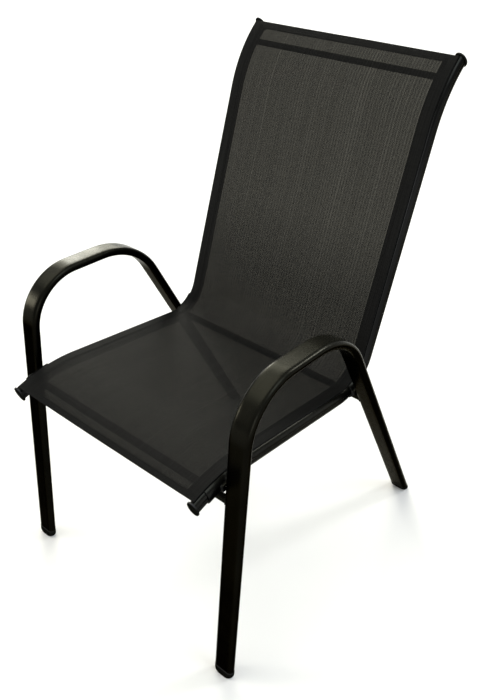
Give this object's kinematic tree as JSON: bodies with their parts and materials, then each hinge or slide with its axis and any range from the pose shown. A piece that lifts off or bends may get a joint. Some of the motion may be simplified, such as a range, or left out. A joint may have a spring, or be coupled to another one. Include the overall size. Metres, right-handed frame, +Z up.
{
  "type": "stacking sling patio chair",
  "caption": "Stacking patio armchair: bent flat-oval leg hoops form legs and arms, joined by crossbars, with a mesh sling stretched between slotted side rails.",
  "frame": {"origin": "on the floor, under the middle of the chair's bounding box", "axes": "+X to the sitter's left, +Y towards the chair's back, +Z up"},
  "size_m": [0.546, 0.6934, 0.949],
  "materials": {
    "frame": "satin powder coat, very dark brown",
    "mesh": "woven coated-yarn mesh, charcoal",
    "plastic": "moulded, black",
    "steel": "zinc plated"
  },
  "bodies": {
    "root": {"left_leg_hoop": "frame", "right_leg_hoop": "frame", "left_front_foot_cap": "plastic", "left_rear_foot_cap": "plastic", "right_front_foot_cap": "plastic", "right_rear_foot_cap": "plastic", "front_crossbar": "frame", "rear_crossbar": "frame", "left_sling_rail": "frame", "right_sling_rail": "frame", "left_front_rail_cap": "plastic", "left_top_rail_cap": "plastic", "right_front_rail_cap": "plastic", "right_top_rail_cap": "plastic", "top_spreader": "frame", "sling": "mesh", "left_hem_rod": "plastic", "right_hem_rod": "plastic", "left_front_rail_bracket": "frame", "left_rear_rail_bracket": "frame", "right_front_rail_bracket": "frame", "right_rear_rail_bracket": "frame", "left_front_rail_bolt": "steel", "left_rear_rail_bolt": "steel", "right_front_rail_bolt": "steel", "right_rear_rail_bolt": "steel", "left_front_threaded_insert": "steel", "left_rear_threaded_insert": "steel", "right_front_threaded_insert": "steel", "right_rear_threaded_insert": "steel"}
  },
  "joints": []
}
